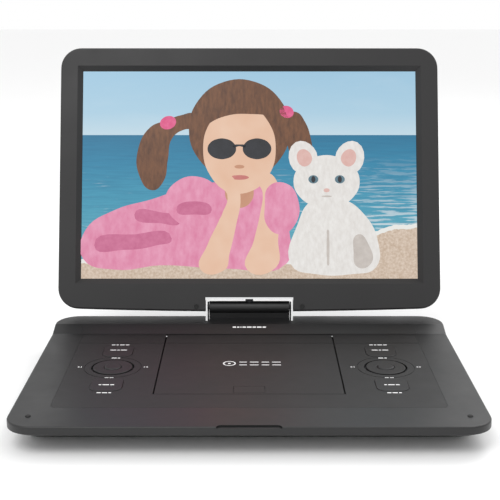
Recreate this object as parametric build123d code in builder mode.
from build123d import *
# Portable DVD player: a flat base with a disc well and key pads, and a wide lid on a tilt and swivel hinge.
#
# Frame: X to the right, -Y towards the viewer, Z up. The table is z = 0 and the origin is under the middle of
# the base. The lid stands open, as in use. All sizes are millimetres.
from math import cos, radians, sin
import os

os.makedirs("parts", exist_ok=True)

# --- overall sizes -------------------------------------------------------------------------------------
BASE_WIDTH = 344.0
BASE_DEPTH = 237.0
BASE_CORNER = 20.0
FOOT_STAND = 2.5            # how far the feet hold the underside off the table
DECK_TOP = 22.0             # height of the deck above the table
LIP_HEIGHT = 2.8            # upright rim of the bottom shell, under the top cover
COVER_EDGE = 3.0            # upright edge of the top cover
FRONT_UNDERCUT = 27.0       # how far the bottom shell runs in under its front
SIDE_UNDERCUT = 10.0
BACK_UNDERCUT = 10.0
UNDERSIDE_CORNER = 12.0
WALL = 1.8                  # wall of the shells
COVER_WALL = 2.2            # thickness of the top cover and the deck plate

LID_WIDTH = 343.2
LID_HEIGHT = 240.0
LID_THICK = 16.0
LID_CORNER = 18.5
LID_OPEN = 108.7            # opening at rest, counted from flat on the base
DISPLAY_WIDTH = 303.4       # visible picture
DISPLAY_HEIGHT = 189.6
DISPLAY_BOTTOM = 29.4       # from the lid's bottom edge

# --- clearances ----------------------------------------------------------------------------------------
SLIP = 0.15                 # parts that drop into place and stay there
KEY_GAP = 0.3               # round keys that travel
DOOR_GAP = 0.5
RUN = 0.05                  # radial running fit of shafts and pins

# --- levels in the base --------------------------------------------------------------------------------
UNDERSIDE = FOOT_STAND
FLOOR = UNDERSIDE + WALL
COVER_JOINT = DECK_TOP - COVER_EDGE
DECK_UNDER = DECK_TOP - COVER_WALL
LEDGE = 2.0                 # thickness of the ledge that carries the deck plate

# --- deck plate and disc door --------------------------------------------------------------------------
DECK_HALF_WIDTH = 144.4
DECK_FRONT = -84.1
DECK_BACK = 78.1
DECK_CORNER = 4.5
LEDGE_WIDTH = 3.5
DOOR_HALF_WIDTH = 71.2
DOOR_SIDE_GAP = 1.2
DOOR_FRONT = -57.9
DOOR_BACK = DECK_BACK - 1.1
DOOR_CORNER = 3.0
DISC_Y = 8.0                # middle of the disc, from the middle of the base
DISC_RADIUS = 60.0
WELL_RADIUS = DISC_RADIUS + 2.2

# --- rear rail and hinge -------------------------------------------------------------------------------
RAIL_RISE = 4.0             # how far the rail stands above the deck
RAIL_SLOPE_FRONT = 80.0
RAIL_SLOPE_BACK = 95.0
RAIL_TOP = DECK_TOP + RAIL_RISE
BLOCK_HALF_WIDTH = 36.0
NOTCH_HALF_WIDTH = 39.5     # notch in the lid and in the rail around the hinge
AXIS_RISE = 9.0             # tilt axis above the rail
AXIS_INSET = 4.0            # tilt axis in from the lid's bottom edge
AXIS_FROM_BACK = 2.5        # tilt axis in from the base's back edge
TILT_Y = BASE_DEPTH / 2 - AXIS_FROM_BACK
TILT_Z = RAIL_TOP + AXIS_RISE
BARREL_RADIUS = 5.5
NOTCH_TOP = 12.5            # top of the lid's notch, from the lid's bottom edge
LEAN = LID_OPEN - 90.0
LID_UP = Vector(0, sin(radians(LEAN)), cos(radians(LEAN)))
LID_OUT = Vector(0, -cos(radians(LEAN)), sin(radians(LEAN)))
AXIS_POINT = Vector(0, TILT_Y, TILT_Z)
LID_ORIGIN = AXIS_POINT - LID_UP * AXIS_INSET + LID_OUT * (LID_THICK / 2)

# The lid's own plane: x to the right, y up along the lid from its bottom edge, z out of its front face.
LID_FACE = Plane(origin=LID_ORIGIN, x_dir=(1, 0, 0), z_dir=LID_OUT)

# --- fasteners and feet --------------------------------------------------------------------------------
SCREW_RADIUS = 1.3
SCREW_HEAD_RADIUS = 2.6
SCREW_HEAD_DEPTH = 1.4
BOSS_RADIUS = 3.4
FOOT_RADIUS = 6.0
FOOT_POCKET = 1.0
FOOT_X = BASE_WIDTH / 2 - 30.0
FOOT_FRONT_Y = -BASE_DEPTH / 2 + FRONT_UNDERCUT + 13.5
FOOT_BACK_Y = BASE_DEPTH / 2 - 24.0
FEET = [(-FOOT_X, FOOT_FRONT_Y), (FOOT_X, FOOT_FRONT_Y), (-FOOT_X, FOOT_BACK_Y), (FOOT_X, FOOT_BACK_Y)]
BUMPER_RADIUS = 2.0
BUMPER_X = BASE_WIDTH / 2 - 15.0
BUMPER_Y = -BASE_DEPTH / 2 + 19.1


def save(piece, name):
    """Name a finished piece and write it as its own STEP file."""
    piece.part.label = name
    export_step(piece.part, f"parts/{name}.step")
    print(name, len(piece.part.solids()), round(piece.part.volume))


def four_corners(x, y):
    """The four points at plus and minus x and y."""
    return [(-x, -y), (x, -y), (-x, y), (x, y)]


def span(x_low, x_high, y_low, y_high, mode=Mode.ADD):
    """A plain rectangle between two pairs of values, in the current sketch."""
    with Locations(((x_low + x_high) / 2, (y_low + y_high) / 2)):
        Rectangle(x_high - x_low, y_high - y_low, mode=mode)


def block(x_low, x_high, y_low, y_high, z_low, z_high, mode=Mode.ADD):
    """A plain block between three pairs of values, in the current part."""
    with BuildSketch(Plane.XY.offset(z_low)) as plan:
        span(x_low, x_high, y_low, y_high)
    extrude(plan.sketch, amount=z_high - z_low, mode=mode)


# =======================================================================================================
# Base: bottom shell, top cover, rear rail and deck plate
# =======================================================================================================
SLANT_TOP = COVER_JOINT - LIP_HEIGHT
HOLLOW_SLANT_TOP = COVER_JOINT - 1.3
HOLLOW_INSET = 1.0          # the floor's hollow, in from the outside at the same level
SHELL_SCREWS = [(-150, -60), (150, -60), (-154, 20), (154, 20), (-110, 100), (110, 100)]
BRACKET_SCREWS = [(-28, 104), (28, 104)]
BRACKET_BOTTOM = 14.8
BRACKET_THICK = 1.2
DRIVE_POSTS = four_corners(40.0, 44.0)
DRIVE_PLATE_Z = 8.2
BOARD_Z = 6.4
BOARD_THICK = 1.6
BOARD_LOW = (84.0, -50.0)
BOARD_HIGH = (150.0, 72.0)
BOARD_POSTS = [(88.0, -46.0), (146.0, -46.0), (88.0, 68.0), (146.0, 68.0)]
BATTERY_Y = -77.0
BATTERY_SIZE = (120.0, 23.0)
SPEAKER_X = 122.0
SPEAKER_Y = -72.0
SPEAKER_SIZE = (40.0, 24.0)
SPEAKER_HEIGHT = 7.0
GRILLE_SLOT = (22.0, 1.6)
GRILLE_PITCH = 3.6

# Openings in the right wall and the left wall: name, y, z, half width, half height
PORT_Z = 10.6
JACK_RADIUS = 3.0           # outside of a jack's nose
JACK_BORE = 1.8             # 3.5 mm plug
DC_BORE = 2.75              # 5.5 mm plug
DC_RADIUS = 4.0
INLET_DEPTH = 10.0
INLET_PIN_RADIUS = 0.9
JACK_DEPTH = 15.0
HEADPHONE_Y = -20.0
AV_Y = 2.0
USB_Y = 33.0
USB_SIZE = (14.0, 5.2)
CARD_Y = 58.0
CARD_SIZE = (26.0, 3.2)
VOLUME_Y = -48.0
VOLUME_RADIUS = 8.0
VOLUME_THICK = 3.0
VOLUME_POST = 1.4
WHEEL_X = BASE_WIDTH / 2 - 2.9 - VOLUME_RADIUS
WHEEL_BOTTOM = PORT_Z - VOLUME_THICK / 2
DC_Y = 62.0
SWITCH_Y = 36.0
SWITCH_SIZE = (12.0, 4.0)
PORT_FACE_X = BASE_WIDTH / 2 - 4.9
PORT_BODY_X = 152.0         # where a port's housing meets its nose
POWER_LOW = (100.0, 14.0)   # power board, on the left
POWER_HIGH = (150.0, 74.0)
POWER_POSTS = [(-104.0, 18.0), (-146.0, 18.0), (-104.0, 70.0), (-146.0, 70.0)]


def outline(level, inset=0.0):
    """The base's rounded outline at a level, inset all round."""
    with BuildSketch(Plane.XY.offset(level)) as plan:
        RectangleRounded(BASE_WIDTH - 2 * inset, BASE_DEPTH - 2 * inset, BASE_CORNER - inset)
    return plan.sketch


def underside_outline(level, inset=0.0):
    """The outline of the flat underside at a level, inset all round."""
    depth = BASE_DEPTH - FRONT_UNDERCUT - BACK_UNDERCUT
    with BuildSketch(Plane.XY.offset(level)) as plan:
        with Locations((0, (FRONT_UNDERCUT - BACK_UNDERCUT) / 2)):
            RectangleRounded(BASE_WIDTH - 2 * (SIDE_UNDERCUT + inset), depth - 2 * inset, UNDERSIDE_CORNER - inset)
    return plan.sketch


def wall_window(side, y, z, width, height):
    """A window through a side wall: side is -1 for the left and 1 for the right."""
    with BuildSketch(Plane.YZ.offset(side * (BASE_WIDTH / 2 + 2))) as window:
        with Locations((y, z)):
            Rectangle(width, height)
    extrude(window.sketch, amount=-side * 16, mode=Mode.SUBTRACT)


def wall_hole(side, y, z, radius):
    """A round hole through a side wall."""
    with BuildSketch(Plane.YZ.offset(side * (BASE_WIDTH / 2 + 2))) as window:
        with Locations((y, z)):
            Circle(radius)
    extrude(window.sketch, amount=-side * 16, mode=Mode.SUBTRACT)


with BuildPart() as bottom_shell:
    extrude(outline(COVER_JOINT), amount=-LIP_HEIGHT)
    loft([underside_outline(UNDERSIDE).face(), outline(SLANT_TOP).face()])
    # hollow inside, with slants of its own
    extrude(outline(COVER_JOINT, WALL), amount=HOLLOW_SLANT_TOP - COVER_JOINT, mode=Mode.SUBTRACT)
    loft([underside_outline(FLOOR, HOLLOW_INSET).face(), outline(HOLLOW_SLANT_TOP, WALL).face()],
         mode=Mode.SUBTRACT)
    # screw bosses, posts for the hinge bracket, the drive and the main board
    with BuildSketch(Plane.XY.offset(FLOOR)):
        with Locations(*SHELL_SCREWS):
            Circle(BOSS_RADIUS)
    extrude(amount=COVER_JOINT - 4.0 - FLOOR)
    with BuildSketch(Plane.XY.offset(FLOOR)):
        with Locations(*BRACKET_SCREWS):
            Circle(BOSS_RADIUS)
    extrude(amount=BRACKET_BOTTOM - FLOOR)
    with BuildSketch(Plane.XY.offset(FLOOR)):
        with Locations(*[(x, y + DISC_Y) for x, y in DRIVE_POSTS]):
            Circle(2.6)
    extrude(amount=DRIVE_PLATE_Z - 2.0 - FLOOR)
    with BuildSketch(Plane.XY.offset(FLOOR)):
        with Locations(*BOARD_POSTS, *POWER_POSTS):
            Circle(2.6)
    extrude(amount=BOARD_Z - FLOOR)
    # post that the volume wheel turns on
    with BuildSketch(Plane.XY.offset(FLOOR)):
        with Locations((WHEEL_X, VOLUME_Y)):
            Circle(VOLUME_POST)
    extrude(amount=WHEEL_BOTTOM + VOLUME_THICK - FLOOR)
    # counterbored screw holes from below
    with BuildSketch(Plane.XY.offset(UNDERSIDE)):
        with Locations(*SHELL_SCREWS, *BRACKET_SCREWS):
            Circle(SCREW_RADIUS + SLIP)
    extrude(amount=COVER_JOINT, mode=Mode.SUBTRACT)
    with BuildSketch(Plane.XY.offset(UNDERSIDE)):
        with Locations(*SHELL_SCREWS, *BRACKET_SCREWS):
            Circle(SCREW_HEAD_RADIUS + SLIP)
    extrude(amount=SCREW_HEAD_DEPTH + 1.0, mode=Mode.SUBTRACT)
    # pockets for the feet
    with BuildSketch(Plane.XY.offset(UNDERSIDE)):
        with Locations(*FEET):
            Circle(FOOT_RADIUS + SLIP)
    extrude(amount=FOOT_POCKET, mode=Mode.SUBTRACT)
    # grille slots under the speakers
    with BuildSketch(Plane.XY.offset(UNDERSIDE)):
        for side in (-1, 1):
            with Locations((side * SPEAKER_X, SPEAKER_Y)):
                with GridLocations(0, GRILLE_PITCH, 1, 5):
                    SlotOverall(*GRILLE_SLOT)
    extrude(amount=WALL, mode=Mode.SUBTRACT)
    # windows for the ports in the side walls
    wall_hole(1, HEADPHONE_Y, PORT_Z, JACK_RADIUS + SLIP)
    wall_hole(1, AV_Y, PORT_Z, JACK_RADIUS + SLIP)
    wall_window(1, USB_Y, PORT_Z, USB_SIZE[0] + 2 * SLIP, USB_SIZE[1] + 2 * SLIP)
    wall_window(1, CARD_Y, PORT_Z, CARD_SIZE[0] + 2 * SLIP, CARD_SIZE[1] + 2 * SLIP)
    wall_window(1, VOLUME_Y, PORT_Z, 2 * VOLUME_RADIUS + 1.0, VOLUME_THICK + 1.0)
    wall_hole(-1, DC_Y, PORT_Z, DC_RADIUS + SLIP)
    wall_window(-1, SWITCH_Y, PORT_Z, SWITCH_SIZE[0] + 5.0, SWITCH_SIZE[1] + 1.0)
save(bottom_shell, "base_bottom_shell")

# --- top cover and rear rail ---------------------------------------------------------------------------
MITRE_FRONT_X = DECK_HALF_WIDTH + 1.6
MITRE_BACK_X = BASE_WIDTH / 2 - 7.0
MITRE_Y = 88.0
COVER_ROUND = 1.2
RAIL_NOTCH_FRONT = 104.0
LOCATING_LIP = 1.6


def upper_body():
    """The whole upper shell with its raised back, before the rail is parted from it."""
    with BuildPart() as upper:
        extrude(outline(COVER_JOINT), amount=RAIL_TOP - COVER_JOINT)
        with BuildSketch(Plane.YZ.offset(-BASE_WIDTH)):
            with BuildLine():
                Polyline((-BASE_DEPTH, DECK_TOP), (RAIL_SLOPE_FRONT, DECK_TOP), (RAIL_SLOPE_BACK, RAIL_TOP),
                         (RAIL_SLOPE_BACK, 2 * RAIL_TOP), (-BASE_DEPTH, 2 * RAIL_TOP), close=True)
            make_face()
        extrude(amount=2 * BASE_WIDTH, mode=Mode.SUBTRACT)
        rim_top = [edge for edge in upper.edges() if is_rim_top(edge)]
        fillet(rim_top, COVER_ROUND)
        # hollow from below
        extrude(outline(COVER_JOINT, WALL), amount=DECK_UNDER - COVER_JOINT, mode=Mode.SUBTRACT)
        with BuildSketch(Plane.XY.offset(DECK_UNDER)):
            span(-MITRE_FRONT_X + 4, MITRE_FRONT_X - 4, RAIL_SLOPE_BACK, BASE_DEPTH / 2 - WALL)
        extrude(amount=RAIL_RISE, mode=Mode.SUBTRACT)
    return upper.part


def is_rim_top(edge):
    """True for the edges round the top of the outer wall."""
    middle = edge @ 0.5
    start = edge @ 0
    end = edge @ 1
    if abs(start.Z - COVER_JOINT) < 0.01 or abs(end.Z - COVER_JOINT) < 0.01:
        return False
    on_side = abs(abs(middle.X) - BASE_WIDTH / 2) < 0.01
    on_end = abs(abs(middle.Y) - BASE_DEPTH / 2) < 0.01
    on_corner = edge.geom_type == GeomType.CIRCLE
    return on_side or on_end or on_corner


def rail_plan(gap):
    """The rear rail seen from above, grown by half the parting gap."""
    with BuildSketch(Plane.XY.offset(-1)) as plan:
        with BuildLine():
            Polyline((-MITRE_FRONT_X - gap, RAIL_SLOPE_FRONT - gap), (MITRE_FRONT_X + gap, RAIL_SLOPE_FRONT - gap),
                     (MITRE_FRONT_X + gap, MITRE_Y), (MITRE_BACK_X + gap, BASE_DEPTH / 2 + 1),
                     (-MITRE_BACK_X - gap, BASE_DEPTH / 2 + 1), (-MITRE_FRONT_X - gap, MITRE_Y), close=True)
        make_face()
    return plan.sketch


UPPER = upper_body()
PARTING = 0.1

with BuildPart() as top_cover:
    add(UPPER)
    extrude(rail_plan(PARTING), amount=2 * RAIL_TOP, mode=Mode.SUBTRACT)
    # ledge under the deck plate, then the opening that the plate fills
    block(-DECK_HALF_WIDTH - 2, DECK_HALF_WIDTH + 2, DECK_FRONT - 2, RAIL_SLOPE_FRONT - PARTING,
          DECK_UNDER - LEDGE, DECK_UNDER)
    block(-DECK_HALF_WIDTH + LEDGE_WIDTH, DECK_HALF_WIDTH - LEDGE_WIDTH, DECK_FRONT + LEDGE_WIDTH,
          BASE_DEPTH, DECK_UNDER - LEDGE, DECK_UNDER, mode=Mode.SUBTRACT)
    with BuildSketch(Plane.XY.offset(DECK_UNDER)):
        with Locations((0, (DECK_FRONT + DECK_BACK) / 2)):
            RectangleRounded(2 * (DECK_HALF_WIDTH + SLIP), DECK_BACK - DECK_FRONT + 2 * SLIP, DECK_CORNER)
    extrude(amount=COVER_WALL, mode=Mode.SUBTRACT)
    # locating lip inside the bottom shell
    with BuildSketch(Plane.XY.offset(DECK_UNDER)):
        RectangleRounded(BASE_WIDTH - 2 * (WALL + SLIP), BASE_DEPTH - 2 * (WALL + SLIP), BASE_CORNER - WALL)
        RectangleRounded(BASE_WIDTH - 2 * (WALL + SLIP + LOCATING_LIP), BASE_DEPTH - 2 * (WALL + SLIP + LOCATING_LIP),
                         BASE_CORNER - WALL - LOCATING_LIP, mode=Mode.SUBTRACT)
        span(-MITRE_FRONT_X, MITRE_FRONT_X, RAIL_SLOPE_FRONT, BASE_DEPTH, mode=Mode.SUBTRACT)
    extrude(amount=-(DECK_UNDER - HOLLOW_SLANT_TOP - 0.1))
    # screw posts that meet the bottom shell's bosses
    with BuildSketch(Plane.XY.offset(COVER_JOINT - 4.0)):
        with Locations(*SHELL_SCREWS[:4]):
            Circle(BOSS_RADIUS)
            Circle(SCREW_RADIUS, mode=Mode.SUBTRACT)
    extrude(amount=DECK_UNDER - COVER_JOINT + 4.0)
    # scoop for the finger at the front edge, and seats for the two bumpers
    with BuildSketch(Plane.XY.offset(DECK_TOP - 1.2)):
        with Locations((0, -BASE_DEPTH / 2)):
            SlotOverall(46, 7.5)
    extrude(amount=2, mode=Mode.SUBTRACT)
    with BuildSketch(Plane.XY.offset(DECK_TOP - 1.0)):
        with Locations((-BUMPER_X, BUMPER_Y), (BUMPER_X, BUMPER_Y)):
            Circle(BUMPER_RADIUS + SLIP)
    extrude(amount=2, mode=Mode.SUBTRACT)
save(top_cover, "base_top_cover")

with BuildPart() as rear_rail:
    add(UPPER)
    extrude(rail_plan(0), amount=2 * RAIL_TOP, mode=Mode.INTERSECT)
    # notch around the hinge
    block(-NOTCH_HALF_WIDTH, NOTCH_HALF_WIDTH, RAIL_NOTCH_FRONT, BASE_DEPTH, 0, 2 * RAIL_TOP, mode=Mode.SUBTRACT)
    with BuildSketch(Plane.XY.offset(COVER_JOINT - 4.0)):
        with Locations(*SHELL_SCREWS[4:]):
            Circle(BOSS_RADIUS)
            Circle(SCREW_RADIUS, mode=Mode.SUBTRACT)
    extrude(amount=DECK_UNDER + RAIL_RISE - COVER_JOINT + 4.0)
save(rear_rail, "rear_rail")

# =======================================================================================================
# Deck plate with its key openings, and the keys
# =======================================================================================================
PAD_X = 109.0
PAD_Y = -2.0
COLLAR_RADIUS = 23.0        # fixed ring around the rocker
ROCKER_RADIUS = 15.6
ROCKER_GROOVE = 1.6         # black gap around the rocker
CENTRE_RADIUS = 6.75
PILL_WIDTH = 24.5
PILL_BACK = 48.4
PILL_FRONT = -52.6
KEY_BACK_EDGE = 22.0        # near edge of the upper key
KEY_FRONT_EDGE = -26.0      # far edge of the lower key
KEY_CORNER = 7.0
KEY_PROUD = 0.4
KEY_TRAVEL = 0.8
KEY_FLANGE = 1.0
KEY_FLANGE_THICK = 0.8
KEY_STEM_RADIUS = 2.0
BOARD_TOP = 15.6            # top of the key boards
DOME_HEIGHT = 0.5
BOARD_POST_X = 17.5         # posts of a key board, from the pad's middle
DOME_RADIUS = 3.0
HINGE_Y = DOOR_BACK - 1.8
HINGE_Z = DECK_UNDER + COVER_WALL / 2
DOOR_PIN_RADIUS = 0.8
DOOR_PIN_IN = 8.0           # length of a pin inside the door
DOOR_PIN_OUT = 3.0          # length of a pin inside the deck plate
GROOVE_Y = 55.5             # crease across the plate and the door
GROOVE_DEPTH = 0.4
BUTTON_HALF_WIDTH = 11.7
BUTTON_BACK = -42.9
BUTTON_GAP = 0.25
BUTTON_FLANGE = 0.6


def key_outline(y_low, y_high, grow, level):
    """A key of the pill: a rectangle with large corners, grown for its gap or its flange."""
    with BuildSketch(Plane.XY.offset(level)) as plan:
        with Locations((0, (y_low + y_high) / 2)):
            RectangleRounded(PILL_WIDTH + 2 * grow, y_high - y_low + 2 * grow, KEY_CORNER + grow)
    return plan.sketch


with BuildPart() as deck_plate:
    with BuildSketch(Plane.XY.offset(DECK_UNDER)):
        with Locations((0, (DECK_FRONT + DECK_BACK) / 2)):
            RectangleRounded(2 * DECK_HALF_WIDTH, DECK_BACK - DECK_FRONT, DECK_CORNER - SLIP)
        span(-DOOR_HALF_WIDTH - DOOR_SIDE_GAP, DOOR_HALF_WIDTH + DOOR_SIDE_GAP, DOOR_FRONT - DOOR_GAP,
             DECK_BACK + 1, mode=Mode.SUBTRACT)
        with Locations((-PAD_X, PAD_Y), (PAD_X, PAD_Y)):
            Circle(ROCKER_RADIUS + ROCKER_GROOVE, mode=Mode.SUBTRACT)
        for side in (-1, 1):
            for low, high in ((KEY_BACK_EDGE, PILL_BACK), (PILL_FRONT, KEY_FRONT_EDGE)):
                with Locations((side * PAD_X, (low + high) / 2)):
                    RectangleRounded(PILL_WIDTH + 2 * KEY_GAP, high - low + 2 * KEY_GAP, KEY_CORNER + KEY_GAP,
                                     mode=Mode.SUBTRACT)
    extrude(amount=COVER_WALL)
    # holes for the door's hinge pins
    for side in (-1, 1):
        with BuildSketch(Plane.YZ.offset(side * (DOOR_HALF_WIDTH + DOOR_SIDE_GAP))):
            with Locations((HINGE_Y, HINGE_Z)):
                Circle(DOOR_PIN_RADIUS)
        extrude(amount=side * DOOR_PIN_OUT, mode=Mode.SUBTRACT)
    # posts that carry the key boards
    with BuildSketch(Plane.XY.offset(DECK_UNDER)):
        for side in (-1, 1):
            with Locations((side * PAD_X, (PILL_FRONT + PILL_BACK) / 2)):
                with GridLocations(2 * BOARD_POST_X, PILL_BACK - PILL_FRONT - 2, 2, 2):
                    Circle(1.8)
    extrude(amount=-(DECK_UNDER - BOARD_TOP))
    # crease across the back of the plate, and the fine circle of each pad's collar
    block(-DECK_HALF_WIDTH, DECK_HALF_WIDTH, GROOVE_Y - 0.3, GROOVE_Y + 0.3, DECK_TOP - GROOVE_DEPTH, DECK_TOP,
          mode=Mode.SUBTRACT)
    with BuildSketch(Plane.XY.offset(DECK_TOP - GROOVE_DEPTH)):
        with Locations((-PAD_X, PAD_Y), (PAD_X, PAD_Y)):
            Circle(COLLAR_RADIUS)
            Circle(COLLAR_RADIUS - 0.5, mode=Mode.SUBTRACT)
    extrude(amount=1, mode=Mode.SUBTRACT)
save(deck_plate, "control_deck")

for side_name, side in (("left", -1), ("right", 1)):
    for key_name, low, high in (("upper", KEY_BACK_EDGE, PILL_BACK), ("lower", PILL_FRONT, KEY_FRONT_EDGE)):
        with BuildPart(Plane((side * PAD_X, 0, 0))) as pill_key:
            extrude(key_outline(low, high, 0, DECK_UNDER - SLIP), amount=COVER_WALL + SLIP + KEY_PROUD)
            fillet(pill_key.edges().group_by(Axis.Z)[-1], 0.35)
            extrude(key_outline(low, high, KEY_FLANGE, DECK_UNDER - SLIP), amount=-KEY_FLANGE_THICK)
            with BuildSketch(Plane.XY.offset(DECK_UNDER - SLIP)) as stem:
                with Locations((0, (low + high) / 2)):
                    Circle(KEY_STEM_RADIUS)
            extrude(stem.sketch, amount=-(DECK_UNDER - SLIP - BOARD_TOP - DOME_HEIGHT - KEY_TRAVEL - 0.1))
        moved = pill_key.part.moved(Location((side * PAD_X, 0, 0)))
        with BuildPart() as key:
            add(moved)
        save(key, f"{side_name}_{key_name}_key")

    with BuildPart() as rocker:
        with BuildSketch(Plane.XY.offset(DECK_UNDER - SLIP)):
            with Locations((side * PAD_X, PAD_Y)):
                Circle(ROCKER_RADIUS)
                Circle(CENTRE_RADIUS + KEY_GAP, mode=Mode.SUBTRACT)
        extrude(amount=COVER_WALL + SLIP + KEY_PROUD)
        fillet(rocker.edges().group_by(Axis.Z)[-1], 0.5)
        with BuildSketch(Plane.XY.offset(DECK_UNDER - SLIP)):
            with Locations((side * PAD_X, PAD_Y)):
                Circle(ROCKER_RADIUS + ROCKER_GROOVE + KEY_FLANGE)
                Circle(CENTRE_RADIUS + KEY_GAP, mode=Mode.SUBTRACT)
        extrude(amount=-KEY_FLANGE_THICK)
        with BuildSketch(Plane.XY.offset(DECK_UNDER - SLIP)):
            with Locations((side * PAD_X, PAD_Y)):
                with PolarLocations(ROCKER_RADIUS - 4.0, 4):
                    Circle(KEY_STEM_RADIUS - 0.6)
        extrude(amount=-(DECK_UNDER - SLIP - BOARD_TOP - DOME_HEIGHT - KEY_TRAVEL - 0.1))
    save(rocker, f"{side_name}_navigation_ring")

    with BuildPart() as centre_key:
        with BuildSketch(Plane.XY.offset(DECK_UNDER - KEY_FLANGE_THICK - 2 * SLIP)):
            with Locations((side * PAD_X, PAD_Y)):
                Circle(CENTRE_RADIUS)
        extrude(amount=COVER_WALL + KEY_FLANGE_THICK + 2 * SLIP + 1.0)
        fillet(centre_key.edges().group_by(Axis.Z)[-1], 1.2)
        with BuildSketch(Plane.XY.offset(DECK_UNDER - KEY_FLANGE_THICK - 2 * SLIP - KEY_TRAVEL)):
            with Locations((side * PAD_X, PAD_Y)):
                Circle(CENTRE_RADIUS + 1.5)
        extrude(amount=-0.6)
        with BuildSketch(Plane.XY.offset(DECK_UNDER - KEY_FLANGE_THICK - 2 * SLIP)):
            with Locations((side * PAD_X, PAD_Y)):
                Circle(CENTRE_RADIUS)
        extrude(amount=-KEY_TRAVEL)
        with BuildSketch(Plane.XY.offset(BOARD_TOP + DOME_HEIGHT + KEY_TRAVEL + 0.1)):
            with Locations((side * PAD_X, PAD_Y)):
                Circle(KEY_STEM_RADIUS)
        extrude(amount=DECK_UNDER - 2 - BOARD_TOP - DOME_HEIGHT - KEY_TRAVEL)
    save(centre_key, f"{side_name}_centre_key")

    # key board with its dome switches, screwed under the deck plate
    with BuildPart() as key_board:
        block(side * PAD_X - 20, side * PAD_X + 20, PILL_FRONT - 2, PILL_BACK + 2, BOARD_TOP - 1.0, BOARD_TOP)
        with BuildSketch(Plane.XY.offset(BOARD_TOP)):
            with Locations((side * PAD_X, PAD_Y)):
                Circle(DOME_RADIUS)
                with PolarLocations(ROCKER_RADIUS - 4.0, 4):
                    Circle(DOME_RADIUS - 0.5)
            with Locations((side * PAD_X, (KEY_BACK_EDGE + PILL_BACK) / 2),
                           (side * PAD_X, (PILL_FRONT + KEY_FRONT_EDGE) / 2)):
                Circle(DOME_RADIUS)
        extrude(amount=DOME_HEIGHT)
    save(key_board, f"{side_name}_key_board")

# =======================================================================================================
# Disc door, its open button and latch
# =======================================================================================================
BUTTON_BRIDGE = 2.2         # strip of the door in front of the button

with BuildPart() as disc_door:
    with BuildSketch(Plane.XY.offset(DECK_UNDER)):
        with Locations((0, (DOOR_FRONT + DOOR_BACK) / 2)):
            RectangleRounded(2 * DOOR_HALF_WIDTH, DOOR_BACK - DOOR_FRONT, 0.8)
        span(-BUTTON_HALF_WIDTH - BUTTON_GAP, BUTTON_HALF_WIDTH + BUTTON_GAP, DOOR_FRONT + BUTTON_BRIDGE,
             BUTTON_BACK + BUTTON_GAP, mode=Mode.SUBTRACT)
    extrude(amount=COVER_WALL)
    block(-DOOR_HALF_WIDTH, DOOR_HALF_WIDTH, GROOVE_Y - 0.3, GROOVE_Y + 0.3, DECK_TOP - GROOVE_DEPTH, DECK_TOP,
          mode=Mode.SUBTRACT)
    # stiffening rim under the door, around the disc
    with BuildSketch(Plane.XY.offset(DECK_UNDER)):
        with Locations((0, DISC_Y)):
            Circle(WELL_RADIUS - 1.0)
            Circle(WELL_RADIUS - 2.4, mode=Mode.SUBTRACT)
        span(-BUTTON_HALF_WIDTH - 2, BUTTON_HALF_WIDTH + 2, DOOR_FRONT, BUTTON_BACK + 2, mode=Mode.SUBTRACT)
    extrude(amount=-1.2)
    # holes for the hinge pins in the two side edges
    with BuildSketch(Plane.YZ.offset(-DOOR_HALF_WIDTH)):
        with Locations((HINGE_Y, HINGE_Z)):
            Circle(DOOR_PIN_RADIUS + RUN)
    extrude(amount=DOOR_PIN_IN + SLIP, mode=Mode.SUBTRACT)
    with BuildSketch(Plane.YZ.offset(DOOR_HALF_WIDTH)):
        with Locations((HINGE_Y, HINGE_Z)):
            Circle(DOOR_PIN_RADIUS + RUN)
    extrude(amount=-DOOR_PIN_IN - SLIP, mode=Mode.SUBTRACT)
save(disc_door, "disc_door")

with BuildPart() as open_button:
    block(-BUTTON_HALF_WIDTH, BUTTON_HALF_WIDTH, DOOR_FRONT + BUTTON_BRIDGE + BUTTON_GAP, BUTTON_BACK,
          DECK_UNDER - SLIP, DECK_TOP)
    block(-BUTTON_HALF_WIDTH - 1.2, BUTTON_HALF_WIDTH + 1.2, DOOR_FRONT + 3.4, BUTTON_BACK + 1.4,
          DECK_UNDER - SLIP - BUTTON_FLANGE, DECK_UNDER - SLIP)
save(open_button, "open_button")

with BuildPart() as door_pins:
    for side in (-1, 1):
        with BuildSketch(Plane.YZ.offset(side * (DOOR_HALF_WIDTH - DOOR_PIN_IN))):
            with Locations((HINGE_Y, HINGE_Z)):
                Circle(DOOR_PIN_RADIUS)
        extrude(amount=side * (DOOR_PIN_IN + DOOR_SIDE_GAP + DOOR_PIN_OUT))
save(door_pins, "door_hinge_pins")

LATCH_HALF = 5.0
LATCH_FRONT = DOOR_FRONT + 0.4      # the latch's nose stops short of its catch
LATCH_BACK = DOOR_FRONT + 1.8       # and stays clear of the pressed button

with BuildPart() as door_latch:
    block(-LATCH_HALF, LATCH_HALF, LATCH_FRONT, LATCH_BACK, DECK_UNDER - 1.4, DECK_UNDER - 0.1)
save(door_latch, "door_latch")

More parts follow.
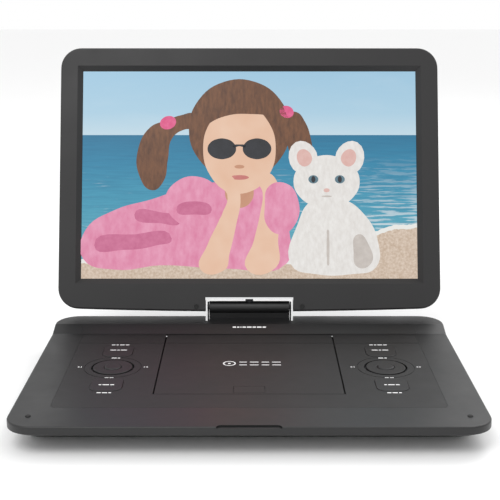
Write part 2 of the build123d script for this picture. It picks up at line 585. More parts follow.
# =======================================================================================================
# Disc well and the disc drive under it
# =======================================================================================================
WELL_FLOOR_TOP = 12.6
WELL_WALL = 1.4
WELL_RIM = 18.2
PLATTER_RADIUS = 13.5
PLATTER_TOP = 14.2
HUB_RADIUS = 7.35           # fits the 15 mm hole of a disc
HUB_HEIGHT = 3.0
BALL_RADIUS = 1.0
TURNTABLE_GAP = 1.5
SLOT_HALF_WIDTH = 14.0      # slot in the well's floor for the pickup
SLOT_END = 50.0
SPINDLE_RADIUS = 1.0
MOTOR_RADIUS = 11.0
MOTOR_BOTTOM = 4.9
DRIVE_PLATE_THICK = 1.2
ROD_RADIUS = 1.5
ROD_X = 17.0
ROD_Z = 6.6
SLED_NEAR = 22.0            # lens from the disc's middle, at the inner end of its travel
SLED_TRAVEL = 32.0
SLED_HALF = 10.0
SLED_TOP_HALF = 8.0
WINDOW_HALF = 13.5          # window of the drive plate
PLATE_HALF_WIDTH = 46.0
ROD_START = DISC_Y - 8.5
ROD_END = DISC_Y - SLED_NEAR - SLED_TRAVEL - SLED_HALF - 3.5
LEAD_X = -23.0
LEAD_RADIUS = 1.2

with BuildPart() as disc_well:
    with BuildSketch(Plane.XY.offset(WELL_FLOOR_TOP - WELL_WALL)):
        with Locations((0, DISC_Y)):
            Circle(WELL_RADIUS + WELL_WALL)
    extrude(amount=WELL_RIM - WELL_FLOOR_TOP + WELL_WALL)
    # flange under the ledge, held to the deck plate's edge
    with BuildSketch(Plane.XY.offset(WELL_RIM - 1.0)):
        span(-DOOR_HALF_WIDTH - 4, DOOR_HALF_WIDTH + 4, DOOR_FRONT - 2, DOOR_BACK)
    extrude(amount=1.0)
    with BuildSketch(Plane.XY.offset(WELL_RIM)):
        for side in (-1, 1):
            span(side * (DOOR_HALF_WIDTH + 2.8) - 1.2, side * (DOOR_HALF_WIDTH + 2.8) + 1.2, DOOR_FRONT, DOOR_BACK - 8)
    extrude(amount=DECK_UNDER - WELL_RIM)
    with BuildSketch(Plane.XY.offset(WELL_FLOOR_TOP)):
        with Locations((0, DISC_Y)):
            Circle(WELL_RADIUS)
    extrude(amount=WELL_RIM, mode=Mode.SUBTRACT)
    # openings for the turntable and the pickup
    with BuildSketch(Plane.XY.offset(WELL_FLOOR_TOP - WELL_WALL)):
        with Locations((0, DISC_Y)):
            Circle(PLATTER_RADIUS + TURNTABLE_GAP)
        span(-SLOT_HALF_WIDTH, SLOT_HALF_WIDTH, DISC_Y - SLED_NEAR - SLED_TRAVEL - 5, DISC_Y)
    extrude(amount=WELL_WALL, mode=Mode.SUBTRACT)
    # posts that carry the drive plate
    with BuildSketch(Plane.XY.offset(WELL_FLOOR_TOP - WELL_WALL)):
        with Locations(*[(x, y + DISC_Y) for x, y in DRIVE_POSTS]):
            Circle(2.6)
    extrude(amount=-(WELL_FLOOR_TOP - WELL_WALL - DRIVE_PLATE_Z - DRIVE_PLATE_THICK))
save(disc_well, "disc_well")

with BuildPart() as drive_plate:
    with BuildSketch(Plane.XY.offset(DRIVE_PLATE_Z)):
        span(-PLATE_HALF_WIDTH, PLATE_HALF_WIDTH, ROD_END - 4.0, DISC_Y + 50.0)
        with Locations((0, DISC_Y)):
            Circle(MOTOR_RADIUS - 2.5, mode=Mode.SUBTRACT)
        span(-WINDOW_HALF, WINDOW_HALF, ROD_END, ROD_START - 4.7, mode=Mode.SUBTRACT)
        with Locations(*[(x, y + DISC_Y) for x, y in DRIVE_POSTS]):
            Circle(1.2, mode=Mode.SUBTRACT)
    extrude(amount=DRIVE_PLATE_THICK)
    # tabs under the plate that hold the guide rods
    for x in (-ROD_X, ROD_X):
        for y in (ROD_START - 1.5, ROD_END + 1.5):
            block(x - 2.6, x + 2.6, y - 1.5, y + 1.5, FLOOR + 0.4, DRIVE_PLATE_Z)
        with BuildSketch(Plane.XZ.offset(-ROD_START - 1)) as bore:
            with Locations((x, ROD_Z)):
                Circle(ROD_RADIUS)
        extrude(bore.sketch, amount=ROD_START - ROD_END + 2, mode=Mode.SUBTRACT)
save(drive_plate, "drive_plate")

with BuildPart() as dampers:
    with BuildSketch(Plane.XY.offset(DRIVE_PLATE_Z - 2.0)):
        with Locations(*[(x, y + DISC_Y) for x, y in DRIVE_POSTS]):
            Circle(4.0)
    extrude(amount=2.0)
save(dampers, "drive_dampers")

with BuildPart() as spindle_motor:
    with BuildSketch(Plane.XY.offset(MOTOR_BOTTOM)):
        with Locations((0, DISC_Y)):
            Circle(MOTOR_RADIUS)
    extrude(amount=DRIVE_PLATE_Z - MOTOR_BOTTOM)
    with BuildSketch(Plane.XY.offset(DRIVE_PLATE_Z)):
        with Locations((0, DISC_Y)):
            Circle(MOTOR_RADIUS - 2.5 - SLIP)
    extrude(amount=DRIVE_PLATE_THICK + 1.0)
    with BuildSketch(Plane.XY.offset(MOTOR_BOTTOM + 1.0)):
        with Locations((0, DISC_Y)):
            Circle(SPINDLE_RADIUS + RUN)
    extrude(amount=MOTOR_BOTTOM + 4, mode=Mode.SUBTRACT)
save(spindle_motor, "spindle_motor")

def ball_point(angle):
    """Middle of one of the balls around the hub."""
    reach = HUB_RADIUS - BALL_RADIUS + 0.25
    return (reach * cos(radians(angle)), DISC_Y + reach * sin(radians(angle)), PLATTER_TOP + 1.3)


with BuildPart() as turntable:
    with BuildSketch(Plane.XY.offset(DRIVE_PLATE_Z + DRIVE_PLATE_THICK + 1.6)):
        with Locations((0, DISC_Y)):
            Circle(4.0)
    extrude(amount=PLATTER_TOP - DRIVE_PLATE_Z - DRIVE_PLATE_THICK - 1.6)
    with BuildSketch(Plane.XY.offset(PLATTER_TOP - 1.2)):
        with Locations((0, DISC_Y)):
            Circle(PLATTER_RADIUS)
    extrude(amount=1.2)
    with BuildSketch(Plane.XY.offset(PLATTER_TOP)):
        with Locations((0, DISC_Y)):
            Circle(HUB_RADIUS)
    extrude(amount=HUB_HEIGHT)
    chamfer(turntable.edges().group_by(Axis.Z)[-1], 0.9)
    # three pockets for the balls that grip the disc
    with BuildSketch(Plane.XY.offset(PLATTER_TOP + 0.25)):
        with Locations(*[ball_point(angle)[:2] for angle in (90, 210, 330)]):
            Circle(BALL_RADIUS + RUN)
    extrude(amount=HUB_HEIGHT, mode=Mode.SUBTRACT)
    # shaft that runs in the motor
    with BuildSketch(Plane.XY.offset(MOTOR_BOTTOM + 1.2)):
        with Locations((0, DISC_Y)):
            Circle(SPINDLE_RADIUS)
    extrude(amount=PLATTER_TOP - MOTOR_BOTTOM - 1.2)
save(turntable, "turntable_hub")

with BuildPart() as hub_balls:
    with Locations(*[ball_point(angle) for angle in (90, 210, 330)]):
        Sphere(BALL_RADIUS)
save(hub_balls, "hub_balls")

with BuildPart() as guide_rods:
    for x in (-ROD_X, ROD_X):
        with BuildSketch(Plane.XZ.offset(-ROD_START)):
            with Locations((x, ROD_Z)):
                Circle(ROD_RADIUS)
        extrude(amount=ROD_START - ROD_END)
save(guide_rods, "guide_rods")

LENS_Y = DISC_Y - SLED_NEAR
SLED_BOTTOM = FLOOR + 0.5
SLED_TOP = 11.0
LENS_RADIUS = 2.4

with BuildPart() as sled:
    block(-ROD_X - 3, ROD_X + 3, LENS_Y - SLED_HALF, LENS_Y + SLED_HALF - 1, SLED_BOTTOM, DRIVE_PLATE_Z - 0.3)
    block(LEAD_X - 2.6, -ROD_X, LENS_Y - 4, LENS_Y + 4, SLED_BOTTOM, DRIVE_PLATE_Z - 0.3)
    block(-11.5, 11.5, LENS_Y - SLED_TOP_HALF, LENS_Y + SLED_TOP_HALF, DRIVE_PLATE_Z - 0.3, SLED_TOP)
    with BuildSketch(Plane.XY.offset(SLED_TOP)):
        with Locations((0, LENS_Y)):
            Circle(LENS_RADIUS + 2.0)
    extrude(amount=0.8)
    with BuildSketch(Plane.XY.offset(SLED_TOP - 1.6)):
        with Locations((0, LENS_Y)):
            Circle(LENS_RADIUS + 0.6)
    extrude(amount=4, mode=Mode.SUBTRACT)
    with BuildSketch(Plane.XZ.offset(-LENS_Y - SLED_HALF)):
        with Locations((-ROD_X, ROD_Z), (ROD_X, ROD_Z)):
            Circle(ROD_RADIUS + RUN)
        with Locations((LEAD_X, ROD_Z)):
            Circle(LEAD_RADIUS + RUN)
    extrude(amount=2 * SLED_HALF, mode=Mode.SUBTRACT)
save(sled, "pickup_sled")

with BuildPart() as lens:
    with BuildSketch(Plane.XY.offset(SLED_TOP - 1.0)):
        with Locations((0, LENS_Y)):
            Circle(LENS_RADIUS)
    extrude(amount=2.0)
    fillet(lens.edges().group_by(Axis.Z)[-1], 0.9)
save(lens, "objective_lens")

with BuildPart() as lead_screw:
    with BuildSketch(Plane.XZ.offset(-ROD_START - 3)):
        with Locations((LEAD_X, ROD_Z)):
            Circle(LEAD_RADIUS)
    extrude(amount=ROD_START + 3 - ROD_END)
save(lead_screw, "lead_screw")

with BuildPart() as sled_motor:
    block(LEAD_X - 4, LEAD_X + 4, ROD_START, ROD_START + 14, FLOOR + 0.2, DRIVE_PLATE_Z)
    with BuildSketch(Plane.XZ.offset(-ROD_START - 3.5)):
        with Locations((LEAD_X, ROD_Z)):
            Circle(LEAD_RADIUS + RUN)
    extrude(amount=3.5, mode=Mode.SUBTRACT)
save(sled_motor, "sled_motor")

# =======================================================================================================
# Boards, battery, speakers, ports and controls on the side walls
# =======================================================================================================
BOARD_TOP_Z = BOARD_Z + BOARD_THICK
PORT_BODY_TOP = 13.2


def add_chips(chips, level):
    """Chips on a board: x, y, width, depth and height of each."""
    for x, y, width, depth, height in chips:
        block(x - width / 2, x + width / 2, y - depth / 2, y + depth / 2, level, level + height)


with BuildPart() as main_board:
    block(BOARD_LOW[0], BOARD_HIGH[0], BOARD_LOW[1], BOARD_HIGH[1], BOARD_Z, BOARD_TOP_Z)
    add_chips([(108, 20, 24, 24, 1.6), (108, -12, 12, 18, 1.2), (128, 4, 10, 6, 1.2), (100, 52, 10, 10, 4.5),
               (124, 58, 8, 8, 5.0), (110, -38, 14, 8, 1.4)], BOARD_TOP_Z)
save(main_board, "main_board")

with BuildPart() as power_board:
    block(-POWER_HIGH[0], -POWER_LOW[0], POWER_LOW[1], POWER_HIGH[1], BOARD_Z, BOARD_TOP_Z)
    add_chips([(-118, 44, 12, 12, 5.0), (-112, 24, 8, 8, 3.0), (-130, 26, 6, 6, 2.0), (-122, 64, 10, 6, 4.0)],
              BOARD_TOP_Z)
    # body of the power switch, at the board's outer edge
    block(-160, -146, SWITCH_Y - 8, SWITCH_Y + 8, BOARD_TOP_Z, PORT_BODY_TOP)
save(power_board, "power_board")

with BuildPart() as battery:
    with BuildSketch(Plane.XY.offset(FLOOR + 0.1)):
        with Locations((0, BATTERY_Y)):
            RectangleRounded(*BATTERY_SIZE, 3)
    extrude(amount=9.0)
    fillet(battery.edges().group_by(Axis.Z)[-1], 1.2)
save(battery, "battery_pack")

for side_name, side in (("left", -1), ("right", 1)):
    with BuildPart() as speaker:
        with BuildSketch(Plane.XY.offset(FLOOR)):
            with Locations((side * SPEAKER_X, SPEAKER_Y)):
                RectangleRounded(SPEAKER_SIZE[0], SPEAKER_SIZE[1], 4)
        extrude(amount=SPEAKER_HEIGHT)
        with BuildSketch(Plane.XY.offset(FLOOR)):
            with Locations((side * SPEAKER_X, SPEAKER_Y)):
                RectangleRounded(SPEAKER_SIZE[0] - 6, SPEAKER_SIZE[1] - 6, 4)
        extrude(amount=2.0, mode=Mode.SUBTRACT)
    save(speaker, f"{side_name}_speaker")


def round_jack(side, y, nose_radius, bore, depth, pin_radius=0.0):
    """A jack: a housing on the board and a round nose through the wall, bored for its plug or around its pin."""
    with BuildPart() as jack:
        block(min(side * 143, side * PORT_BODY_X), max(side * 143, side * PORT_BODY_X), y - 4.5, y + 4.5,
              BOARD_TOP_Z, PORT_BODY_TOP)
        with BuildSketch(Plane.YZ.offset(side * PORT_BODY_X)) as nose:
            with Locations((y, PORT_Z)):
                Circle(nose_radius)
        extrude(nose.sketch, amount=side * (PORT_FACE_X - PORT_BODY_X))
        with BuildSketch(Plane.YZ.offset(side * PORT_FACE_X)) as bore_end:
            with Locations((y, PORT_Z)):
                Circle(bore)
                if pin_radius:
                    Circle(pin_radius, mode=Mode.SUBTRACT)
        extrude(bore_end.sketch, amount=-side * depth, mode=Mode.SUBTRACT)
    return jack


save(round_jack(1, HEADPHONE_Y, JACK_RADIUS, JACK_BORE, JACK_DEPTH), "headphone_jack")
save(round_jack(1, AV_Y, JACK_RADIUS, JACK_BORE, JACK_DEPTH), "av_jack")
save(round_jack(-1, DC_Y, DC_RADIUS, DC_BORE, INLET_DEPTH, INLET_PIN_RADIUS), "power_inlet")

with BuildPart() as usb_port:
    block(150.2, PORT_FACE_X, USB_Y - USB_SIZE[0] / 2, USB_Y + USB_SIZE[0] / 2, PORT_Z - USB_SIZE[1] / 2,
          PORT_Z + USB_SIZE[1] / 2)
    block(143, 150.2, USB_Y - 6, USB_Y + 6, BOARD_TOP_Z, PORT_BODY_TOP)
    block(155, PORT_FACE_X, USB_Y - 6.2, USB_Y + 6.2, PORT_Z - 2.2, PORT_Z + 2.2, mode=Mode.SUBTRACT)
    block(155, PORT_FACE_X - 1.5, USB_Y - 5.5, USB_Y + 5.5, PORT_Z + 0.1, PORT_Z + 1.6)
save(usb_port, "usb_port")

with BuildPart() as card_slot:
    block(143, 150.2, CARD_Y - 12, CARD_Y + 12, BOARD_TOP_Z, PORT_Z + CARD_SIZE[1] / 2)
    block(150.2, PORT_FACE_X, CARD_Y - CARD_SIZE[0] / 2, CARD_Y + CARD_SIZE[0] / 2, PORT_Z - CARD_SIZE[1] / 2,
          PORT_Z + CARD_SIZE[1] / 2)
    block(150.2, PORT_FACE_X, CARD_Y - 12.2, CARD_Y + 12.2, PORT_Z - 1.15, PORT_Z + 1.15, mode=Mode.SUBTRACT)
save(card_slot, "card_slot")

KNOB_HALF = 2.5
SWITCH_TRAVEL = 6.0
SWITCH_REST_Y = SWITCH_Y - SWITCH_TRAVEL / 2

with BuildPart() as volume_wheel:
    with BuildSketch(Plane.XY.offset(WHEEL_BOTTOM)):
        with Locations((WHEEL_X, VOLUME_Y)):
            Circle(VOLUME_RADIUS)
            Circle(VOLUME_POST + RUN, mode=Mode.SUBTRACT)
            with PolarLocations(VOLUME_RADIUS, 40):
                Circle(0.25, mode=Mode.SUBTRACT)
    extrude(amount=VOLUME_THICK)
save(volume_wheel, "volume_wheel")

with BuildPart() as switch_knob:
    block(-BASE_WIDTH / 2 + 3.0, -160.3, SWITCH_REST_Y - KNOB_HALF, SWITCH_REST_Y + KNOB_HALF, PORT_Z - 1.8,
          PORT_Z + 1.8)
save(switch_knob, "power_switch_knob")

# =======================================================================================================
# Feet, bumpers and screws of the base
# =======================================================================================================
with BuildPart() as feet:
    with BuildSketch():
        with Locations(*FEET):
            Circle(FOOT_RADIUS)
    extrude(amount=UNDERSIDE + FOOT_POCKET)
    fillet(feet.edges().group_by(Axis.Z)[0], 0.8)
save(feet, "rubber_feet")

with BuildPart() as bumpers:
    with BuildSketch(Plane.XY.offset(DECK_TOP - 1.0)):
        with Locations((-BUMPER_X, BUMPER_Y), (BUMPER_X, BUMPER_Y)):
            Circle(BUMPER_RADIUS)
    extrude(amount=1.6)
    fillet(bumpers.edges().group_by(Axis.Z)[-1], 0.4)
save(bumpers, "rim_bumpers")

with BuildPart() as base_screws:
    with BuildSketch(Plane.XY.offset(UNDERSIDE + 1.0)):
        with Locations(*SHELL_SCREWS, *BRACKET_SCREWS):
            Circle(SCREW_HEAD_RADIUS)
    extrude(amount=SCREW_HEAD_DEPTH)
    with BuildSketch(Plane.XY.offset(UNDERSIDE + 1.0 + SCREW_HEAD_DEPTH)):
        with Locations(*SHELL_SCREWS, *BRACKET_SCREWS):
            Circle(SCREW_RADIUS)
    extrude(amount=BRACKET_BOTTOM + BRACKET_THICK - UNDERSIDE - 1.0 - SCREW_HEAD_DEPTH)
    with BuildSketch(Plane.XY.offset(UNDERSIDE + 0.9)):
        with Locations(*SHELL_SCREWS, *BRACKET_SCREWS):
            Rectangle(3.0, 0.7)
            Rectangle(0.7, 3.0)
    extrude(amount=0.9, mode=Mode.SUBTRACT)
save(base_screws, "base_screws")

# =======================================================================================================
# Hinge: steel bracket with two ears, pedestal cover, tilting barrel and swivel shaft
# =======================================================================================================
EAR_IN = BLOCK_HALF_WIDTH + 0.4
EAR_OUT = BLOCK_HALF_WIDTH + 1.6
EAR_RADIUS = 5.0
BRACKET_FRONT = 100.0
BRACKET_BACK = 114.4
PIN_RADIUS = 2.0
PIN_IN = 14.0               # inner end of a tilt pin, from the middle
PEDESTAL_FRONT = RAIL_NOTCH_FRONT + 0.3
CRADLE_FRONT = TILT_Y - 4.5  # the part that carries the barrel; in front of it the closed lid needs room
PEDESTAL_BACK = BASE_DEPTH / 2 - 0.3
PEDESTAL_TOP = TILT_Z - 1.0
BARREL_GAP = 0.5
SHAFT_RADIUS = 3.5
SHAFT_BORE = 2.2
SHAFT_HEAD = 3.0            # half size of the shaft's head inside the barrel
SHAFT_TOP = 24.0            # from the lid's bottom edge

with BuildPart() as bracket:
    block(-EAR_OUT, EAR_OUT, BRACKET_FRONT, BRACKET_BACK, BRACKET_BOTTOM, BRACKET_BOTTOM + BRACKET_THICK)
    for side in (-1, 1):
        with BuildSketch(Plane.YZ.offset(side * EAR_IN)):
            with Locations((TILT_Y, TILT_Z)):
                Circle(EAR_RADIUS)
            span(TILT_Y - EAR_RADIUS, BRACKET_BACK, BRACKET_BOTTOM, TILT_Z)
        extrude(amount=side * (EAR_OUT - EAR_IN))
        with BuildSketch(Plane.YZ.offset(side * EAR_IN)):
            with Locations((TILT_Y, TILT_Z)):
                Circle(PIN_RADIUS + RUN)
        extrude(amount=side * (EAR_OUT - EAR_IN), mode=Mode.SUBTRACT)
    with BuildSketch(Plane.XY.offset(BRACKET_BOTTOM)):
        with Locations(*BRACKET_SCREWS):
            Circle(SCREW_RADIUS)
    extrude(amount=BRACKET_THICK, mode=Mode.SUBTRACT)
save(bracket, "hinge_bracket")

with BuildPart() as pedestal:
    block(-BLOCK_HALF_WIDTH, BLOCK_HALF_WIDTH, PEDESTAL_FRONT, PEDESTAL_BACK, COVER_JOINT + 0.2, RAIL_TOP)
    block(-BLOCK_HALF_WIDTH, BLOCK_HALF_WIDTH, CRADLE_FRONT, PEDESTAL_BACK, RAIL_TOP, PEDESTAL_TOP)
    block(-BLOCK_HALF_WIDTH, BLOCK_HALF_WIDTH, PEDESTAL_FRONT, BRACKET_BACK, BRACKET_BOTTOM + BRACKET_THICK,
          COVER_JOINT + 0.2)
    block(-BLOCK_HALF_WIDTH + 2, BLOCK_HALF_WIDTH - 2, PEDESTAL_FRONT + 1.8, BRACKET_BACK - 1.8,
          BRACKET_BOTTOM + BRACKET_THICK, RAIL_TOP - WALL, mode=Mode.SUBTRACT)
    with BuildSketch(Plane.YZ.offset(-BLOCK_HALF_WIDTH)):
        with Locations((TILT_Y, TILT_Z)):
            Circle(BARREL_RADIUS + BARREL_GAP)
    extrude(amount=2 * BLOCK_HALF_WIDTH, mode=Mode.SUBTRACT)
save(pedestal, "hinge_pedestal")

# The tilting barrel's own plane: through the tilt axis, z out of the lid's front.
BARREL_PLANE = Plane(origin=AXIS_POINT, x_dir=(1, 0, 0), z_dir=LID_OUT)
BARREL_SIDE = Plane(origin=AXIS_POINT - Vector(BLOCK_HALF_WIDTH, 0, 0), x_dir=LID_UP, z_dir=(1, 0, 0))


def barrel_half(front):
    """Front or rear half of the barrel, hollowed for the pins and the shaft."""
    with BuildPart() as half:
        with BuildSketch(BARREL_SIDE):
            Circle(BARREL_RADIUS)
        extrude(amount=2 * BLOCK_HALF_WIDTH)
        with BuildSketch(BARREL_PLANE):
            Rectangle(2 * BASE_WIDTH, 4 * BARREL_RADIUS)
        extrude(amount=-2 * BARREL_RADIUS if front else 2 * BARREL_RADIUS, mode=Mode.SUBTRACT)
        # bore for the pins, seat for the shaft's head, and the shaft's way out at the top
        with BuildSketch(BARREL_SIDE):
            Circle(PIN_RADIUS)
        extrude(amount=2 * BLOCK_HALF_WIDTH, mode=Mode.SUBTRACT)
        with BuildSketch(BARREL_PLANE.offset(-SHAFT_HEAD - SLIP)):
            Rectangle(2 * (PIN_IN - 1), 2 * (SHAFT_HEAD + SLIP))
        extrude(amount=2 * (SHAFT_HEAD + SLIP), mode=Mode.SUBTRACT)
        with BuildSketch(Plane(origin=AXIS_POINT, x_dir=(1, 0, 0), z_dir=LID_UP)):
            Circle(SHAFT_RADIUS + SLIP)
        extrude(amount=2 * BARREL_RADIUS, mode=Mode.SUBTRACT)
    return half


save(barrel_half(True), "hinge_barrel_front")
save(barrel_half(False), "hinge_barrel_rear")

with BuildPart() as tilt_pins:
    for side in (-1, 1):
        with BuildSketch(Plane.YZ.offset(side * PIN_IN)):
            with Locations((TILT_Y, TILT_Z)):
                Circle(PIN_RADIUS)
        extrude(amount=side * (EAR_OUT + 0.2 - PIN_IN))
save(tilt_pins, "tilt_pins")

SHAFT_PLANE = Plane(origin=AXIS_POINT, x_dir=(1, 0, 0), z_dir=LID_UP)

with BuildPart() as swivel_shaft:
    with BuildSketch(SHAFT_PLANE.offset(-SHAFT_HEAD)):
        Rectangle(2 * (PIN_IN - 1.2), 2 * SHAFT_HEAD)
    extrude(amount=2 * SHAFT_HEAD)
    with BuildSketch(SHAFT_PLANE.offset(SHAFT_HEAD)):
        Circle(SHAFT_RADIUS)
    extrude(amount=SHAFT_TOP - AXIS_INSET - SHAFT_HEAD)
    with BuildSketch(SHAFT_PLANE.offset(-SHAFT_HEAD)):
        Circle(SHAFT_BORE)
    extrude(amount=2 * SHAFT_TOP, mode=Mode.SUBTRACT)
save(swivel_shaft, "swivel_shaft")

# =======================================================================================================
# Lid: back shell, bezel, display and the swivel plate
# =======================================================================================================
LID_JOINT = -7.0            # parting of the bezel and the back shell, behind the front face
BEZEL_PLATE = 2.0
BEZEL_RIM_DEPTH = 3.5       # how deep the picture lies
CHAMFER_RUN = 4.6           # slanted border around the picture
BACK_WALL = 2.0
BEZEL_ROUND = 1.6
BACK_ROUND = 5.0
SHELL_STEP = 3.0            # the back shell's cavity steps in this much, clear of its rounded edge
LID_WALL = 2.0
BOTTOM_BOW = 3.0            # the bottom edge is this much lower in the middle
NOTCH_WALL = 1.0
PANEL_MARGIN = 4.0
PANEL_THICK = 5.0
BUSH_RADIUS = 5.0
BUSH_BOTTOM = NOTCH_TOP + NOTCH_WALL + 0.3
BUSH_TOP = 21.5
PLATE_THICK = 1.5
PLUG_X = 47.5
PLUG_UP = 4.2
PLUG_RADIUS = 2.2
TRIM_BOTTOM = 11.0
TRIM_END = NOTCH_HALF_WIDTH - 0.2
TRIM_LEG = 10.0
TRIM_DEPTH = 3.0
TRIM_PROUD = 0.3
LID_SCREWS = [(-150, 14), (150, 14), (-150, 228), (150, 228), (-60, 228), (60, 228)]


def lid_outline(level, inset=0.0):
    """The lid's outline with its bowed bottom edge, on a level behind the front face."""
    half = LID_WIDTH / 2 - inset
    low = BOTTOM_BOW + inset
    high = LID_HEIGHT - inset
    with BuildSketch(LID_FACE.offset(level)) as plan:
        with BuildLine():
            ThreePointArc((-half, low), (0, inset), (half, low))
            Polyline((half, low), (half, high), (-half, high), (-half, low))
        make_face()
        fillet(plan.vertices(), LID_CORNER - inset)
    return plan.sketch


def notch_sketch(level, grow):
    """The notch around the hinge, grown by a wall."""
    with BuildSketch(LID_FACE.offset(level)) as plan:
        span(-NOTCH_HALF_WIDTH - grow, NOTCH_HALF_WIDTH + grow, -5, NOTCH_TOP + grow)
    return plan.sketch


def window(level, grow):
    """A rectangle around the picture, on a level behind the front face."""
    with BuildSketch(LID_FACE.offset(level)) as plan:
        span(-DISPLAY_WIDTH / 2 - grow, DISPLAY_WIDTH / 2 + grow, DISPLAY_BOTTOM - grow,
             DISPLAY_BOTTOM + DISPLAY_HEIGHT + grow)
    return plan.sketch


def shaft_hole(radius, low, high):
    """Cut a round hole along the swivel axis, between two heights above the lid's bottom edge."""
    with BuildSketch(SHAFT_PLANE.offset(low - AXIS_INSET)) as plan:
        Circle(radius)
    extrude(plan.sketch, amount=high - low, mode=Mode.SUBTRACT)


def face_at(piece, level):
    """The flat face of a lid piece that lies on a level of the lid's own plane."""
    return min(piece.faces(), key=lambda face: abs((face.center() - LID_FACE.origin).dot(LID_FACE.z_dir) - level))


def cavity(level, inset):
    """The inside of the lid: its outline inset by the wall, without the notch and its walls."""
    with BuildSketch(LID_FACE.offset(level)) as plan:
        add(lid_outline(0, inset).moved(LID_FACE.location.inverse()))
        span(-NOTCH_HALF_WIDTH - NOTCH_WALL, NOTCH_HALF_WIDTH + NOTCH_WALL, -5, NOTCH_TOP + NOTCH_WALL,
             mode=Mode.SUBTRACT)
    return plan.sketch

with BuildPart() as bezel:
    extrude(lid_outline(LID_JOINT), amount=-LID_JOINT)
    fillet(face_at(bezel, 0).outer_wire().edges(), BEZEL_ROUND)
    extrude(cavity(-BEZEL_PLATE, LID_WALL), amount=LID_JOINT + BEZEL_PLATE, mode=Mode.SUBTRACT)
    # rim behind the slanted border, then the border itself
    extrude(window(-BEZEL_RIM_DEPTH, CHAMFER_RUN + 1.5), amount=BEZEL_RIM_DEPTH - BEZEL_PLATE + 0.1)
    loft([window(-BEZEL_RIM_DEPTH - 0.01, 0).face(), window(0.01, CHAMFER_RUN).face()], mode=Mode.SUBTRACT)
    # the notch
    extrude(notch_sketch(LID_JOINT - 1, 0), amount=20, mode=Mode.SUBTRACT)
    shaft_hole(SHAFT_RADIUS + SLIP, NOTCH_TOP - 2, BUSH_BOTTOM + 0.5)
    with BuildSketch(LID_FACE.offset(-1.2)):
        with Locations((-PLUG_X, PLUG_UP), (PLUG_X, PLUG_UP)):
            Circle(PLUG_RADIUS + SLIP)
    extrude(amount=3, mode=Mode.SUBTRACT)
    # posts for the lid's screws
    with BuildSketch(LID_FACE.offset(-BEZEL_PLATE)):
        with Locations(*LID_SCREWS):
            Circle(3.0)
            Circle(1.0, mode=Mode.SUBTRACT)
    extrude(amount=LID_JOINT + BEZEL_PLATE)
save(bezel, "lid_bezel")

with BuildPart() as lid_back:
    extrude(lid_outline(LID_JOINT), amount=-(LID_THICK + LID_JOINT))
    fillet(face_at(lid_back, -LID_THICK).outer_wire().edges(), BACK_ROUND)
    depth = LID_THICK + LID_JOINT - BACK_WALL
    extrude(cavity(LID_JOINT, LID_WALL), amount=-(depth - SHELL_STEP), mode=Mode.SUBTRACT)
    extrude(cavity(LID_JOINT - depth + SHELL_STEP, LID_WALL + SHELL_STEP), amount=-SHELL_STEP, mode=Mode.SUBTRACT)
    extrude(notch_sketch(LID_JOINT + 1, 0), amount=-20, mode=Mode.SUBTRACT)
    shaft_hole(SHAFT_RADIUS + SLIP, NOTCH_TOP - 2, BUSH_BOTTOM + 0.5)
    with BuildSketch(LID_FACE.offset(LID_JOINT)):
        with Locations(*LID_SCREWS):
            Circle(3.0)
    extrude(amount=-(LID_THICK + LID_JOINT - 1.0))
    with BuildSketch(LID_FACE.offset(LID_JOINT)):
        with Locations(*LID_SCREWS):
            Circle(SCREW_RADIUS + SLIP)
    extrude(amount=-LID_THICK, mode=Mode.SUBTRACT)
    with BuildSketch(LID_FACE.offset(-LID_THICK)):
        with Locations(*LID_SCREWS):
            Circle(2.4)
    extrude(amount=2.4, mode=Mode.SUBTRACT)
save(lid_back, "lid_back")

with BuildPart() as panel:
    extrude(window(-BEZEL_RIM_DEPTH, PANEL_MARGIN), amount=-PANEL_THICK)
    extrude(window(-BEZEL_RIM_DEPTH - 1.0, PANEL_MARGIN + 1.0), amount=-PANEL_THICK)
save(panel, "display_panel")

with BuildPart() as display_board:
    with BuildSketch(LID_FACE.offset(-11.2)):
        span(-60, 60, 60, 110)
    extrude(amount=-1.2)
    for x, y in ((-35, 85), (0, 80), (30, 90)):
        with BuildSketch(LID_FACE.offset(-11.2)):
            with Locations((x, y)):
                Rectangle(14, 10)
        extrude(amount=1.2)
save(display_board, "display_board")

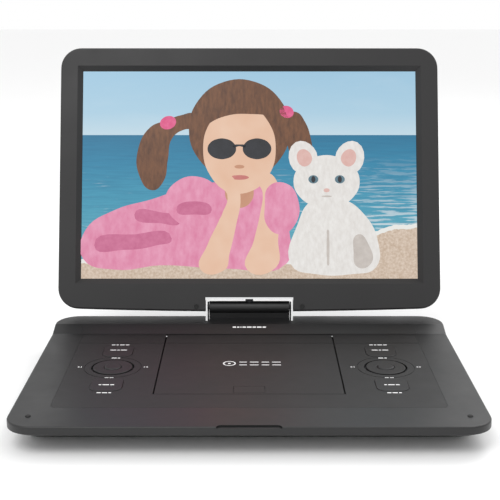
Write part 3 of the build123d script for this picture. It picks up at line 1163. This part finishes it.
with BuildPart() as swivel_plate:
    with BuildSketch(LID_FACE.offset(-LID_THICK + BACK_WALL)):
        span(-62, 62, BUSH_BOTTOM, BUSH_TOP)
    extrude(amount=PLATE_THICK)
    with BuildSketch(LID_FACE.offset(-LID_THICK + BACK_WALL)):
        span(-8, 8, BUSH_BOTTOM, BUSH_TOP)
    extrude(amount=LID_THICK - BACK_WALL - BEZEL_PLATE - 0.2)
    shaft_hole(BUSH_RADIUS, 0, 40)
save(swivel_plate, "swivel_plate")

with BuildPart() as swivel_bush:
    with BuildSketch(SHAFT_PLANE.offset(BUSH_BOTTOM - AXIS_INSET)):
        Circle(BUSH_RADIUS)
        Circle(SHAFT_RADIUS + RUN, mode=Mode.SUBTRACT)
    extrude(amount=BUSH_TOP - BUSH_BOTTOM)
save(swivel_bush, "swivel_bush")

with BuildPart() as swivel_ring:
    with BuildSketch(SHAFT_PLANE.offset(BUSH_TOP + 0.1 - AXIS_INSET)):
        Circle(BUSH_RADIUS)
        Circle(SHAFT_RADIUS, mode=Mode.SUBTRACT)
    extrude(amount=1.6)
save(swivel_ring, "swivel_retaining_ring")

with BuildPart() as trim:
    with BuildSketch(LID_FACE.offset(TRIM_PROUD)):
        span(-TRIM_END, TRIM_END, TRIM_LEG, NOTCH_TOP)
        span(-TRIM_END + 1.2, TRIM_END - 1.2, TRIM_LEG - 1, TRIM_BOTTOM, mode=Mode.SUBTRACT)
    extrude(amount=-TRIM_DEPTH)
save(trim, "notch_trim")

with BuildPart() as plugs:
    with BuildSketch(LID_FACE.offset(-1.2)):
        with Locations((-PLUG_X, PLUG_UP), (PLUG_X, PLUG_UP)):
            Circle(PLUG_RADIUS)
    extrude(amount=1.4)
save(plugs, "bezel_plugs")

with BuildPart() as lid_screws:
    with BuildSketch(LID_FACE.offset(-LID_THICK + 2.4)):
        with Locations(*LID_SCREWS):
            Circle(2.2)
    extrude(amount=-1.4)
    with BuildSketch(LID_FACE.offset(-LID_THICK + 2.4)):
        with Locations(*LID_SCREWS):
            Circle(1.0)
    extrude(amount=10.0)
save(lid_screws, "lid_screws")
